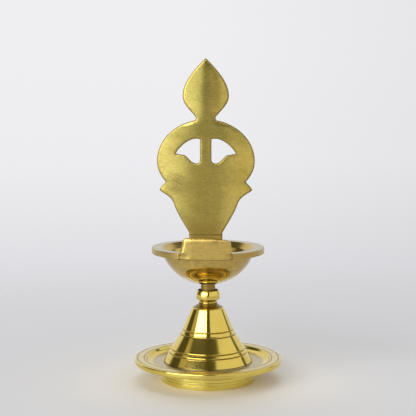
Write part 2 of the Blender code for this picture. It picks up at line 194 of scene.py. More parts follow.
def brass(name, metal, tarnish, roughness, spread, scratches, turned=0.0, grain=None, rings=None, tones=()):
    """A worked brass.

    metal and tarnish are its clean and dull colours, roughness and spread its polish and how much
    that wanders, and scratches a list of (size in mm along X, Y and Z, depth in mm). turned is
    how strongly it was worked round the axis, which stretches reflections across that direction.
    rings is the spacing and depth in mm of turning marks, and grain of a cast skin. tones is a
    list of (size in mm along X, Y and Z, amount) that the colour wanders by.
    """
    made = bpy.data.materials.new(name)
    made.use_nodes = True
    tree = made.node_tree
    shader = tree.nodes["Principled BSDF"]
    shader.inputs["Metallic"].default_value = 1
    place = object_place(tree)
    patches = add(tree, "ShaderNodeTexNoise", {"Vector": place, "Scale": 1 / (11 * MM), "Detail": 4,
                                               "Roughness": 0.55}).outputs["Fac"]
    specks = add(tree, "ShaderNodeTexNoise", {"Vector": place, "Scale": 1 / (1.3 * MM),
                                              "Detail": 2}).outputs["Fac"]
    dull = maths(tree, "MULTIPLY_ADD", specks, 0.3, patches)
    tone = add(tree, "ShaderNodeMapRange", {"Value": dull, "From Min": 0.45, "From Max": 0.95})
    colour = ramp(tree, tone.outputs["Result"], [(0, metal), (1, tarnish)])
    for size, amount in tones:
        drift = stretched_noise(tree, place, size, Detail=3, Roughness=0.6)
        value = maths(tree, "MULTIPLY_ADD", drift, 2 * amount, 1 - amount)
        colour = add(tree, "ShaderNodeHueSaturation", {"Color": colour, "Value": value}).outputs["Color"]
    tree.links.new(colour, shader.inputs["Base Color"])
    polish = add(tree, "ShaderNodeMapRange", {"Value": dull, "From Min": 0.4, "From Max": 0.95,
                                              "To Min": roughness - spread, "To Max": roughness + spread})
    tree.links.new(polish.outputs["Result"], shader.inputs["Roughness"])
    if turned:
        shader.inputs["Anisotropic"].default_value = turned
        shader.inputs["Anisotropic Rotation"].default_value = 0.25
        around = add(tree, "ShaderNodeTangent", direction_type="RADIAL", axis="Z")
        tree.links.new(around.outputs["Tangent"], shader.inputs["Tangent"])
    normal = None
    for size, depth in scratches:
        normal = bump(tree, stretched_noise(tree, place, size, Detail=3), depth, normal)
    if rings:
        spacing, depth = rings
        split = add(tree, "ShaderNodeSeparateXYZ", {"Vector": place})
        along = add(tree, "ShaderNodeCombineXYZ", {"X": axis_distance(tree, split), "Z": split.outputs["Z"]})
        marks = add(tree, "ShaderNodeTexNoise", {"Vector": along.outputs["Vector"],
                                                 "Scale": 1 / (spacing * MM), "Detail": 2}).outputs["Fac"]
        normal = bump(tree, marks, depth, normal)
    if grain:
        size, depth = grain
        skin = add(tree, "ShaderNodeTexNoise", {"Vector": place, "Scale": 1 / (size * MM), "Detail": 4,
                                                "Roughness": 0.65}).outputs["Fac"]
        normal = bump(tree, skin, depth, normal)
    tree.links.new(normal, shader.inputs["Normal"])
    return made


def bump(tree, height, depth, normal=None):
    """Bump of a given depth in millimetres, on top of another one."""
    inputs = {"Height": height, "Distance": depth * MM, "Strength": 1.0}
    if normal:
        inputs["Normal"] = normal
    return add(tree, "ShaderNodeBump", inputs).outputs["Normal"]


def stain_and_painted_light(made, radii, heights, colour, amount, roughness=None, soft=0.3):
    """Change a finish where its distance from the axis and its height, in mm, lie in two ranges: for real
    stains, and for painted light and shade.
    """
    tree = made.node_tree
    shader = tree.nodes["Principled BSDF"]
    split = add(tree, "ShaderNodeSeparateXYZ", {"Vector": object_place(tree)})
    radius = axis_distance(tree, split)
    mask = maths(tree, "MULTIPLY", window(tree, radius, radii[0] * MM, radii[1] * MM, soft * MM),
                 window(tree, split.outputs["Z"], heights[0] * MM, heights[1] * MM, soft * MM))
    mask = maths(tree, "MULTIPLY", mask, amount)
    blend(tree, shader.inputs["Base Color"], mask, linear(colour))
    if roughness is not None:
        blend(tree, shader.inputs["Roughness"], mask, roughness)


def scuff(made, centre, reach, colour, amount, roughness):
    """A patch of crossing scratches about a point in mm, reach wide along X and Z."""
    tree = made.node_tree
    shader = tree.nodes["Principled BSDF"]
    place = object_place(tree)
    moved = add(tree, "ShaderNodeVectorMath", {0: place, 1: [c * MM for c in centre]}, operation="SUBTRACT")
    span = [1 / (reach[0] * MM), 1 / (reach[0] * MM), 1 / (reach[1] * MM)]
    scaled = add(tree, "ShaderNodeVectorMath", {0: moved.outputs["Vector"], 1: span}, operation="MULTIPLY")
    far = add(tree, "ShaderNodeVectorMath", {0: scaled.outputs["Vector"]},
              operation="LENGTH").outputs["Value"]
    mask = soft_step(tree, far, 1.15, 0.45)
    lines = []
    for turn in (35, -25):
        slanted = add(tree, "ShaderNodeMapping", {"Vector": place, "Rotation": (0, radians(turn), 0)})
        streak = stretched_noise(tree, slanted.outputs["Vector"], (5, 5, 0.3), Detail=2)
        lines.append(soft_step(tree, streak, 0.4, 0.62))
    wear_and_shade = maths(tree, "MULTIPLY", maths(tree, "MULTIPLY", mask, amount), maths(tree, "MAXIMUM", *lines))
    blend(tree, shader.inputs["Base Color"], wear_and_shade, linear(colour))
    blend(tree, shader.inputs["Roughness"], wear_and_shade, roughness)


def blend(tree, socket, mask, value):
    """Mix what feeds a socket with a value."""
    before = socket.links[0].from_socket
    if isinstance(value, float):
        mixed = add(tree, "ShaderNodeMix", {0: mask, 2: before, 3: value}, data_type="FLOAT").outputs[0]
    else:
        mixed = add(tree, "ShaderNodeMix", {0: mask, 6: before, 7: value}, data_type="RGBA").outputs[2]
    tree.links.new(mixed, socket)


def soft_step(tree, value, low, high):
    """0 below low, 1 above high, smooth between."""
    return add(tree, "ShaderNodeMapRange", {"Value": value, "From Min": low, "From Max": high},
               interpolation_type="SMOOTHSTEP").outputs["Result"]


def window(tree, value, low, high, soft):
    """1 between low and high, with soft sides."""
    rise = soft_step(tree, value, low - soft, low + soft)
    fall = soft_step(tree, value, high + soft, high - soft)
    return maths(tree, "MULTIPLY", rise, fall)


# Outlines

def fillet(before, corner, after, radius, steps):
    """An arc of the given radius in place of a corner."""
    back = (before - corner).normalized()
    ahead = (after - corner).normalized()
    half = back.angle(ahead) / 2
    centre = corner + (back + ahead).normalized() * radius / sin(half)
    start = corner + back * radius / tan(half) - centre
    end = corner + ahead * radius / tan(half) - centre
    turn = 1 if start.x * end.y - start.y * end.x > 0 else -1
    sweep = turn * (pi - 2 * half)
    return [centre + Matrix.Rotation(sweep * k / steps, 2) @ start for k in range(steps + 1)]


def rounded(corners, steps=8):
    """Points of a closed outline, from corners given as (x, y) or (x, y, fillet radius)."""
    points = []
    for i, corner in enumerate(corners):
        here = Vector(corner[:2])
        if len(corner) == 3:
            before = Vector(corners[i - 1][:2])
            after = Vector(corners[(i + 1) % len(corners)][:2])
            points += fillet(before, here, after, corner[2], steps)
        else:
            points.append(here)
    return points


def groove(start, end, height, width=0.6, depth=0.28):
    """A round-bottomed groove with softened lips in the flank from start to end, at a height."""
    start, end = Vector(start), Vector(end)
    along = (end - start).normalized()
    inward = Vector((-along.y, along.x))
    centre = start + along * (height - start.y) / along.y
    return [tuple(centre + along * width * t + inward * depth * d) for t, d in GROOVE_SHAPE]


def ring_groove(radius, height, width=0.6, depth=0.28):
    """The same groove in a flat top face, met while going inwards."""
    return [(radius - width * t, height - depth * d) for t, d in GROOVE_SHAPE]


def held(points, margin=0.08, least=0.5):
    """The same outline with extra points near the ends of its long sides, to keep them straight."""
    kept = []
    for here, after in zip(points, points[1:] + points[:1]):
        here, after = Vector(here), Vector(after)
        kept.append(here)
        length = (after - here).length
        if length > least:
            kept += [here.lerp(after, margin / length), here.lerp(after, 1 - margin / length)]
    return kept


GROOVE_SHAPE = [(-0.95, 0), (-0.7, -0.08), (-0.5, 0.02), (-0.36, 0.35), (-0.2, 0.78), (0, 1),
                (0.2, 0.78), (0.36, 0.35), (0.52, 0.05), (0.8, -0.09), (1.15, 0)]


def curve(*handles, steps=12):
    """Points of a Bezier curve without its first point."""
    start, leave, arrive, end = [Vector(handle) for handle in handles]
    return interpolate_bezier(start, leave, arrive, end, steps + 1)[1:]


def sphere_section(radius, first_radius, last_height, steps=40):
    """Points round the bowl's sphere from a radius near its bottom up to a height."""
    first = asin(first_radius / radius)
    last = acos((SPHERE_HEIGHT - last_height) / radius)
    angles = [first + (last - first) * k / steps for k in range(steps + 1)]
    return [(radius * sin(angle), SPHERE_HEIGHT - radius * cos(angle)) for angle in angles]


# Solids

def add_piece(name, mesh, node, body, material, smooth_angle=35):
    """Turn a bmesh in metres into a finished piece that stands for a CAD node."""
    bmesh.ops.recalc_face_normals(mesh, faces=mesh.faces)
    data = bpy.data.meshes.new(name)
    mesh.to_mesh(data)
    mesh.free()
    data.materials.append(material)
    data.shade_smooth()
    data.set_sharp_from_angle(angle=radians(smooth_angle))
    piece = bpy.data.objects.new(name, data)
    bpy.context.scene.collection.objects.link(piece)
    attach(piece, body)
    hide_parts(node)
    return piece


def spun(outline, sides=TURN_SIDES):
    """Spin half a section, given as (radius, height) in mm, about the Z axis."""
    mesh = bmesh.new()
    outline = held(outline)
    verts = [mesh.verts.new((radius * MM, 0, height * MM)) for radius, height in outline]
    solid = outline[0][0] == 0 and outline[-1][0] == 0
    ends = verts[1:] if solid else verts[1:] + verts[:1]
    edges = [mesh.edges.new(pair) for pair in zip(verts, ends)]
    bmesh.ops.spin(mesh, geom=verts + edges, cent=(0, 0, 0), axis=(0, 0, 1), angle=2 * pi,
                   steps=sides, use_merge=False, use_duplicate=False)
    bmesh.ops.remove_doubles(mesh, verts=mesh.verts, dist=0.0001 * MM)
    return mesh


def offset_ring(ring, inset):
    """Move a closed ring of points inwards, square to its edges."""
    moved = []
    for i, here in enumerate(ring):
        before, after = ring[i - 1], ring[(i + 1) % len(ring)]
        first = (here - before).normalized()
        second = (after - here).normalized()
        bisector = Vector((-first.y - second.y, first.x + second.x))
        if bisector.length < 1e-6:
            bisector = Vector((-first.y, first.x))
        bisector.normalize()
        share = max(0.45, bisector.dot(Vector((-second.y, second.x))))
        moved.append(here + bisector * inset / share)
    return moved


def spaced(points, spacing):
    """The same closed ring with its long sides divided."""
    ring = []
    for here, after in zip(points, points[1:] + points[:1]):
        count = max(1, round((after - here).length / spacing))
        ring += [here.lerp(after, k / count) for k in range(count)]
    return ring


def inside(point, ring):
    """Whether a point lies inside a closed ring."""
    hit = False
    for a, b in zip(ring, ring[1:] + ring[:1]):
        if (a.y > point.y) != (b.y > point.y):
            if point.x < a.x + (point.y - a.y) * (b.x - a.x) / (b.y - a.y):
                hit = not hit
    return hit


def slab(rings, front, back, edge_radius, spacing, edge_steps=5):
    """A plate with rounded edges between two surfaces y = front(x, z, reach) and y = back(...).

    rings are its outline, counter-clockwise, and its holes, clockwise, as (x, z) in mm. reach is
    a point's distance from the nearest edge.
    """
    rings = [spaced(ring, spacing) for ring in rings]
    edge = kdtree.KDTree(sum(len(ring) for ring in rings))
    number = 0
    for ring in rings:
        for point in ring:
            edge.insert((point.x, point.y, 0), number)
            number += 1
    edge.balance()

    def reach(point):
        return edge.find((point.x, point.y, 0))[2]

    turns = [pi / 2 * k / edge_steps for k in range(edge_steps + 1)]
    insets = [(edge_radius * (1 - cos(a)), edge_radius * (1 - sin(a))) for a in turns]
    levels = [[offset_ring(ring, inset) for ring in rings] for inset, _ in insets]
    inner = levels[-1]
    flat = [point for ring in inner for point in ring]
    links = []
    for ring in inner:
        first = len(links)
        links += [(first + k, first + (k + 1) % len(ring)) for k in range(len(ring))]
    low_x, high_x = min(p.x for p in flat), max(p.x for p in flat)
    low_z, high_z = min(p.y for p in flat), max(p.y for p in flat)
    columns = int((high_x - low_x) / spacing) + 1
    rows = int((high_z - low_z) / (spacing * 0.87)) + 1
    grid = []
    for row in range(rows):
        for column in range(columns + 1):
            point = Vector((low_x + spacing * (column + 0.5 * (row % 2)), low_z + spacing * 0.87 * row))
            if reach(point) > edge_radius + spacing * 0.6 and inside(point, rings[0]):
                if not any(inside(point, hole) for hole in rings[1:]):
                    grid.append(point)
    made = delaunay_2d_cdt(flat + grid, links, [], 1, 1e-6)
    points, faces = made[0], made[2]
    kept = []
    for face in faces:
        middle = sum((points[k] for k in face), Vector((0, 0))) / len(face)
        if inside(middle, inner[0]) and not any(inside(middle, hole) for hole in inner[1:]):
            kept.append(face)

    mesh = bmesh.new()
    # The edge layer marks the rounded edges; the plate paints them dark, partly as painted shade
    wear_and_shade = mesh.verts.layers.float.new("edge")
    sides = []
    for surface, sign in ((front, 1), (back, -1)):
        cap = [mesh.verts.new((p.x * MM, surface(p.x, p.y, reach(p)) * MM, p.y * MM)) for p in points]
        for face in kept:
            mesh.faces.new([cap[k] for k in face])
        loops = []
        for level, (_, drop) in zip(levels[:-1], insets):
            loops.append([[mesh.verts.new((p.x * MM, (surface(p.x, p.y, 0) + sign * drop) * MM, p.y * MM))
                           for p in ring] for ring in level])
            for vert in (vert for loop in loops[-1] for vert in loop):
                vert[wear_and_shade] = 1.0
        lookup = kdtree.KDTree(len(points))
        for k, p in enumerate(points):
            lookup.insert((p.x, p.y, 0), k)
        lookup.balance()
        loops.append([[cap[lookup.find((p.x, p.y, 0))[1]] for p in ring] for ring in inner])
        for vert in (vert for loop in loops[-1] for vert in loop):
            vert[wear_and_shade] = 1.0
        for outer_level, inner_level in zip(loops, loops[1:]):
            for outer, within in zip(outer_level, inner_level):
                join_rings(mesh, outer, within)
        sides.append(loops[0])
    for front_ring, back_ring in zip(*sides):
        join_rings(mesh, front_ring, back_ring)
    loose = [vert for vert in mesh.verts if not vert.link_faces]
    bmesh.ops.delete(mesh, geom=loose, context="VERTS")
    return mesh


def join_rings(mesh, one, other):
    """Faces between two rings of equal length."""
    for k in range(len(one)):
        after = (k + 1) % len(one)
        corners = []
        for vert in (one[k], one[after], other[after], other[k]):
            if vert not in corners:
                corners.append(vert)
        if len(corners) > 2:
            mesh.faces.new(corners)


def wobble(x, z, size, depth, seed):
    """A slow hand-made unevenness, in millimetres."""
    return noise.noise(Vector((x / size, z / size, seed))) * depth


# Brass finishes

def make_finishes():
    """One worked brass for each kind of surface."""
    finishes = {
        # Lathe polished: deep reflections, drawn out a little up and down by faint rings
        "stem": brass("turned_polished_brass", "#E8CF6C", "#DEC262", 0.12, 0.03,
                      [((6, 6, 0.5), 0.0006)], turned=0.65, rings=(0.5, 0.0008),
                      tones=[((6, 6, 0.4), 0.08)]),
        # Turned and brushed on the wheel: concentric satin rings
        "dish": brass("turned_satin_brass", "#E8D26C", "#D8BE62", 0.16, 0.05,
                      [((5, 5, 1), 0.0008)], turned=0.6, rings=(0.45, 0.002),
                      tones=[((2.5, 2.5, 0.5), 0.2)]),
        # Cast and polished: bright, with uneven tone and a slight grain
        "bowl": brass("polished_cast_brass", "#D6BC6E", "#A88A4C", 0.08, 0.03,
                      [((5, 5, 0.4), 0.0005)], turned=0.3, grain=(2.5, 0.0004),
                      tones=[((5, 5, 0.5), 0.3), ((2.2, 2.2, 1.2), 0.28)]),
        # Belt brushed casting: satin with fine level scratches, and dark as-cast edges, their darkness partly
        # painted shade
        "plate": brass("belt_brushed_brass", "#E2CE72", "#CDB864", 0.16, 0.04,
                       [((5, 6, 0.25), 0.004), ((1.5, 5, 1.2), 0.006)],
                       tones=[((1.8, 4, 0.4), 0.3), ((0.7, 5, 0.6), 0.26), ((7, 9, 4), 0.2)]),
        # Filed and left: matte, with short slanting file marks
        "tab": brass("filed_brass", "#D2B768", "#BD9F58", 0.36, 0.05,
                     [((4, 3, 0.5), 0.006)], grain=(0.8, 0.003),
                     tones=[((4, 4, 0.6), 0.26), ((2, 2, 1.4), 0.22)]),
        # Old unpolished brass: dull and brown
        "peg": brass("dull_brown_brass", "#A98C4B", "#6F5A2E", 0.34, 0.08,
                     [((3, 3, 0.4), 0.003)], grain=(0.7, 0.004)),
        # Bar stock: machined, unpolished
        "fastener": brass("machined_brass", "#CDB069", "#97793E", 0.33, 0.06,
                          [((3, 3, 0.3), 0.003)], rings=(0.3, 0.003)),
    }
    # The dish's floor has gone grey with old oil, and its rim's flat zone is painted paler beige, a painted
    # reflection of the pale backdrop
    stain_and_painted_light(finishes["dish"], (STUD_HOLE, LIP_RADIUS - WELL_REACH - 0.1), (DISH_FLOOR - 0.5, DISH_FLOOR + 0.5),
          "#9C9280", 0.75, 0.26, 0.7)
    stain_and_painted_light(finishes["dish"], (LIP_RADIUS, DISH_RADIUS - 0.6), (DISH_TOP - 0.2, DISH_TOP + 0.5), "#C9B994",
          0.5, None, 0.2)
    # Each groove holds a dark line of old polish; on the cone it covers each groove's lower half and is
    # partly painted shade there
    for share in LOW_GROOVES + HIGH_GROOVES:
        level = CONE_BASE + CONE_RISE * share
        stain_and_painted_light(finishes["stem"], (0.0, CONE_RADIUS), (level - 0.2, level + 0.02), "#4A3C16", 0.92, 0.4, 0.08)
    for radius in (DISH_RADIUS - 1.3, DISH_RADIUS - 4.5):
        stain_and_painted_light(finishes["dish"], (radius - 0.2, radius + 0.2), (DISH_TOP - 0.5, DISH_TOP + 0.1),
              "#6A5632", 0.85, 0.4, 0.12)
    # Painted shade: a dark band round the cone's foot, where it stands in the dish
    stain_and_painted_light(finishes["stem"], (CONE_RADIUS - 1, CONE_RADIUS + 1), (CONE_BASE - 0.5, CONE_BASE + 0.3), "#5A4820",
          0.8, 0.4, 0.1)
    # The foot keeps its polish, and its colour is painted paler and greener, a painted reflection
    stain_and_painted_light(finishes["dish"], (FOOT_RADIUS - 0.5, FOOT_RADIUS + 0.5), (-0.5, DISH_UNDERSIDE),
          "#E8DE7C", 0.7, 0.17)
    # The collar's mouth is painted near black inside, a painted shade in the deep hollow
    stain_and_painted_light(finishes["stem"], (1.0, MOUTH_RADIUS + 0.02), (CUP_FLOOR - 0.5, COLLAR_TOP + 0.5), "#2A1E0C",
          0.95, 0.5, 0.1)
    # The rim is as cast on its edge, and rubbed pale on its top
    stain_and_painted_light(finishes["bowl"], (RIM_RADIUS - 0.5, RIM_RADIUS + 1), (RIM_UNDERSIDE - 0.5, RIM_TOP + 0.5),
          "#B59C5E", 0.7, 0.34, 0.15)
    stain_and_painted_light(finishes["bowl"], (RIM_OPENING, RIM_RADIUS - 0.2), (RIM_TOP - 0.3, RIM_TOP + 0.5), "#B0A27C",
          0.8, 0.3, 0.15)
    # The hollow is wiped clean and satin
    stain_and_painted_light(finishes["bowl"], (2.0, RIM_OPENING - 0.2), (RIM_UNDERSIDE + 0.1, RIM_TOP - 0.4),
          "#CDB468", 0.6, 0.3, 0.1)
    stain_and_painted_light(finishes["bowl"], (2.0, 20.3), (RIM_TOP - 5.5, RIM_UNDERSIDE), "#CDB468", 0.6, 0.3, 0.1)
    # Round its stalk the bowl is bright, and the shoulder's valley is painted dark, a painted shade in the
    # hollow
    stain_and_painted_light(finishes["bowl"], (1.0, 15.0), (BOWL_BOTTOM - 2, BOWL_BOTTOM + 5.0), "#F2DE98", 0.8, 0.06, 0.9)
    stain_and_painted_light(finishes["stem"], (3.0, SHOULDER[0] - 0.5), (SHOULDER[1] + 0.1, NECK_BASE[1] + 1.0), "#66501E",
          0.85, 0.28, 0.3)
    scuff(finishes["plate"], (-14.0, PLATE_FACE, 96.0), (6.5, 5.0), "#8E7C42", 0.75, 0.34)
    scuff(finishes["plate"], (4.0, PLATE_FACE, 118.0), (6.0, 4.0), "#8E7C42", 0.5, 0.3)
    # A dark smear near the tab's top, and the plate is browner towards its foot
    scuff(finishes["tab"], (4.5, -RIM_RADIUS, RIM_TOP + 5.8), (4.5, 1.2), "#8A7340", 0.7, 0.5)
    stain_and_painted_light(finishes["plate"], (0.0, 40.0), (RIM_TOP + 4.0, RIM_TOP + 14.0), "#C69C4C", 0.5, None, 4.0)
    # Painted shadow lies dark along the joint over the tab, and painted shade along the tab's foot
    stain_and_painted_light(finishes["plate"], (0.0, 40.0), (RIM_TOP + 8.6, RIM_TOP + 9.1), "#54401C", 0.85, 0.4, 0.25)
    stain_and_painted_light(finishes["tab"], (0.0, 40.0), (RIM_UNDERSIDE - 0.5, RIM_UNDERSIDE + 0.35), "#5E4A26", 0.8, 0.5, 0.2)
    # The rounded edges are rough as cast and painted dark: partly the as-cast finish, partly painted shade in
    # place of their highlights
    edge = add(finishes["plate"].node_tree, "ShaderNodeAttribute", attribute_name="edge").outputs["Fac"]
    edge = maths(finishes["plate"].node_tree, "MULTIPLY", edge, 0.75)
    shader = finishes["plate"].node_tree.nodes["Principled BSDF"]
    blend(finishes["plate"].node_tree, shader.inputs["Base Color"], edge, linear("#6A5226"))
    blend(finishes["plate"].node_tree, shader.inputs["Roughness"], edge, 0.6)
    return finishes


# Pieces of the stand

def make_dish(finishes):
    """Dish and foot ring: grooved foot, rounded rim, brushed flat zone, lip and hollow well."""
    rim_underside = DISH_TOP - RIM_EDGE
    lip_foot = (LIP_RADIUS - 0.6, DISH_TOP - 1.0)
    corners = [(STUD_HOLE, DISH_UNDERSIDE, 0.2), (FOOT_INSIDE, DISH_UNDERSIDE, 0.8),
               (FOOT_INSIDE, 0, 0.3), (FOOT_RADIUS, 0, 0.4)]
    for share in (0.31, 0.505, 0.7):
        corners += groove((FOOT_RADIUS, 0), (FOOT_RADIUS, DISH_UNDERSIDE), DISH_UNDERSIDE * share, 0.3, 0.1)
    corners += [(FOOT_RADIUS, DISH_UNDERSIDE, 0.3), (LIP_RADIUS, rim_underside, 1.5),
                (DISH_RADIUS, rim_underside, 0.7), (DISH_RADIUS, DISH_TOP, 0.7)]
    corners += ring_groove(DISH_RADIUS - 1.3, DISH_TOP, 0.45, 0.18)
    corners += ring_groove(DISH_RADIUS - 4.5, DISH_TOP, 0.5, 0.22)
    corners += [(LIP_RADIUS, DISH_TOP, 0.3), lip_foot]
    corners += curve(lip_foot, (LIP_RADIUS - 1.1, DISH_FLOOR + 0.2),
                     (LIP_RADIUS - WELL_REACH + 0.8, DISH_FLOOR), (LIP_RADIUS - WELL_REACH, DISH_FLOOR))
    corners += [(CONE_RADIUS + 0.1, DISH_FLOOR), (CONE_RADIUS - 0.05, CONE_BASE - 0.04),
                (CONE_RADIUS - 3.0, CONE_BASE - 0.04), (CONE_RADIUS - 3.2, DISH_FLOOR),
                (STUD_HOLE, DISH_FLOOR, 0.2)]
    add_piece("dish_and_foot", spun(rounded(corners)), "base_plate", "stand",
              finishes["dish"])


def cone_level(share):
    """Height of a share of the way up the cone."""
    return CONE_BASE + CONE_RISE * share


def cone_flank():
    """Corners of the cone's three straight stretches, from its base up to the shoulder."""
    spread = CONE_RADIUS - SHOULDER[0]
    low = (SHOULDER[0] + spread * LOW_BREAK[1], cone_level(LOW_BREAK[0]))
    high = (SHOULDER[0] + spread * HIGH_BREAK[1], cone_level(HIGH_BREAK[0]))
    return [(CONE_RADIUS, CONE_BASE), low, high, SHOULDER]


def make_cone(finishes):
    """Hollow cone with two pairs of grooves, a shoulder, a ringed neck and an open collar."""
    base, low, high, shoulder = cone_flank()
    low_grooves = [cone_level(share) for share in LOW_GROOVES]
    high_grooves = [cone_level(share) for share in HIGH_GROOVES]
    ring = (NECK_BASE[0], NECK_BASE[1] + 0.5)
    bead = (COLLAR_RADIUS - 0.25, COLLAR_TOP - COLLAR_HEIGHT)
    mouth = (MOUTH_RADIUS, COLLAR_TOP)
    corners = [(*base, 0.2), *groove(base, low, low_grooves[0]), low, *groove(low, high, low_grooves[1]),
               *groove(low, high, high_grooves[0], 0.5), high, *groove(high, shoulder, high_grooves[1]),
               (*shoulder, 0.7), (*NECK_BASE, 0.12), ring]
    corners += curve(ring, (3.9, ring[1] + 0.2), (3.9, bead[1] - 0.4), bead, steps=20)
    corners += curve(bead, (COLLAR_RADIUS + 0.25, bead[1] + 0.6), (COLLAR_RADIUS + 0.05, COLLAR_TOP - 1.1),
                     mouth, steps=20)
    corners += [(CUP_RADIUS, COLLAR_TOP - 0.1, 0.12), (CUP_RADIUS, CUP_FLOOR, 0.2), (2.6, CUP_FLOOR, 0.2),
                (2.6, SHOULDER[1] - 4.4), (high[0] - 6.0, SHOULDER[1] - 4.4, 1.0),
                (high[0] - 2.0, high[1] - 1.0, 2.0), (low[0] - 2.0, low[1]),
                (CONE_RADIUS - 2.4, CONE_BASE, 0.2)]
    add_piece("cone_stem", spun(rounded(corners)), "stem_cone", "stand",
              finishes["stem"])


def threaded(outline_below, radius, foot, top, outline_above, sides=72):
    """A peg with a real helical thread between foot and top, and turned ends."""
    depth = 0.61 * THREAD_PITCH
    rows = int((top - foot) / THREAD_PITCH * 10)
    heights = [foot + (top - foot) * k / rows for k in range(rows + 1)]
    mesh = bmesh.new()
    rings = []
    profile = [(r, z, False) for r, z in outline_below]
    profile += [(radius, z, True) for z in heights]
    profile += [(r, z, False) for r, z in outline_above]
    for base_radius, height, cut in profile:
        if base_radius == 0:
            rings.append([mesh.verts.new((0, 0, height * MM))])
            continue
        ring = []
        for k in range(sides):
            turn = k / sides
            reach = base_radius
            if cut:
                phase = ((height - foot) / THREAD_PITCH - turn) % 1
                fade = min(1.0, (height - foot) / 0.8, (top - height) / 0.8)
                reach -= depth * fade * max(0.0, min(1.0, abs(2 * phase - 1) * 1.25 - 0.125))
            ring.append(mesh.verts.new((reach * cos(turn * 2 * pi) * MM, reach * sin(turn * 2 * pi) * MM,
                                        height * MM)))
        rings.append(ring)
    for one, other in zip(rings, rings[1:]):
        if len(one) == 1:
            for k in range(sides):
                mesh.faces.new((one[0], other[k], other[(k + 1) % sides]))
        elif len(other) == 1:
            for k in range(sides):
                mesh.faces.new((one[k], one[(k + 1) % sides], other[0]))
        else:
            join_rings(mesh, one, other)
    return mesh


def make_fasteners(finishes):
    """Stud, washer and nut under the dish."""
    top = STUD_HIGH.z
    foot = STUD_LOW.z
    below = [(0, foot), (1.9, foot), (2.35, foot + 0.45)]
    above = [(1.95, top - 0.05), (0, top)]
    add_piece("threaded_stud", threaded(below, THREAD_RADIUS, foot + 0.5, top - 0.4, above), "tie_stud",
              "stand", finishes["fastener"])
    corners = [(STUD_HOLE, WASHER_LOW.z, 0.1), (WASHER_HIGH.x, WASHER_LOW.z, 0.3),
               (WASHER_HIGH.x, WASHER_HIGH.z, 0.3), (STUD_HOLE, WASHER_HIGH.z, 0.1)]
    add_piece("plain_washer", spun(rounded(corners, 4), 96), "tie_washer", "stand",
              finishes["fastener"])
    add_piece("hexagon_nut", hexagon_nut(), "tie_nut", "stand", finishes["fastener"])


def hexagon_nut(sides=96, bore=2.6, chamfer=0.5):
    """Hexagon nut with the usual 30 degree chamfers and a countersunk bore."""
    half = NUT_HIGH.x
    corner = half / cos(pi / 6)
    mesh = bmesh.new()
    rings = []
    for height in (NUT_LOW.z, NUT_HIGH.z):
        edge = 1 if height == NUT_LOW.z else -1
        cap, wall, hole, mouth = [], [], [], []
        for k in range(sides):
            angle = 2 * pi * k / sides
            from_flat = (angle + pi / 6) % (pi / 3) - pi / 6
            reach = half / cos(from_flat)
            spare = max(0.0, reach - half * 0.98)
            unit = Vector((cos(angle), sin(angle), 0))
            cap.append(mesh.verts.new((unit * min(reach, half * 0.98) + Vector((0, 0, height))) * MM))
            drop = edge * spare / (corner - half * 0.98) * chamfer
            wall.append(mesh.verts.new((unit * reach + Vector((0, 0, height + drop))) * MM))
            mouth.append(mesh.verts.new((unit * (bore + 0.35) + Vector((0, 0, height))) * MM))
            hole.append(mesh.verts.new((unit * bore + Vector((0, 0, height + edge * 0.35))) * MM))
        rings.append((hole, mouth, cap, wall))
    low, high = rings
    for side in (low, high):
        for one, other in zip(side, side[1:]):
            join_rings(mesh, one, other)
    join_rings(mesh, low[3], high[3])
    join_rings(mesh, low[0], high[0])
    return mesh


# Pieces that unscrew

def make_peg(finishes):
    """Dull peg: threaded below, plain where it shows, riveted over inside the bowl."""
    shoulder = CUP_FLOOR + 0.3
    foot = PEG_LOW.z
    seat = SPHERE_HEIGHT - sqrt(SPHERE_RADIUS ** 2 - SPIGOT_RADIUS ** 2)
    head = PEG_HIGH.z
    below = [(0, foot), (1.8, foot), (2.3, foot + 0.45)]
    above = [(1.95, shoulder - 0.3), (1.95, shoulder), (SPIGOT_RADIUS - 0.2, shoulder),
             (SPIGOT_RADIUS, shoulder + 0.2)]
    above += [(SPIGOT_RADIUS, shoulder + 0.2 + (seat - 0.1 - shoulder) * k / 6) for k in range(1, 7)]
    above += [(2.0, BOWL_BOTTOM - 0.1), (2.0, head - 1.0), (3.0, head - 1.0), (3.1, head - 0.85)]
    above += [(3.1 * cos(a), head - 0.75 + 0.75 * sin(a)) for a in [pi / 2 * k / 8 for k in range(8)]]
    above += [(0, head)]
    add_piece("threaded_peg", threaded(below, THREAD_RADIUS, foot + 0.5, shoulder - 0.4, above),
              "spigot", "peg", finishes["peg"])


def turned_to_stop(mesh):
    """Turn a piece about the axis to where the bowl's thread pulls up tight."""
    bmesh.ops.rotate(mesh, verts=mesh.verts, cent=(0, 0, 0), matrix=Matrix.Rotation(STOP_ANGLE, 3, "Z"))
    return mesh


def make_bowl(finishes):
    """Bowl with its wide cast rim, whose edge is cut away behind the bracket."""
    hole = 2.3
    inner_radius = SPHERE_RADIUS - BOWL_WALL
    outside = sphere_section(SPHERE_RADIUS, hole, RIM_UNDERSIDE)
    within = sphere_section(inner_radius, hole, RIM_UNDERSIDE)
    corners = [*outside, (RIM_RADIUS, RIM_UNDERSIDE, 0.2), (RIM_RADIUS, RIM_TOP, 0.35),
               (RIM_OPENING, RIM_TOP, 0.3), *within[::-1]]
    mesh = turned_to_stop(spun(rounded(corners)))
    bowl = add_piece("bowl", mesh, "oil_bowl", "bowl_top", finishes["bowl"])
    cut_flat(bowl, BRACKET_SEAT)
    return bowl


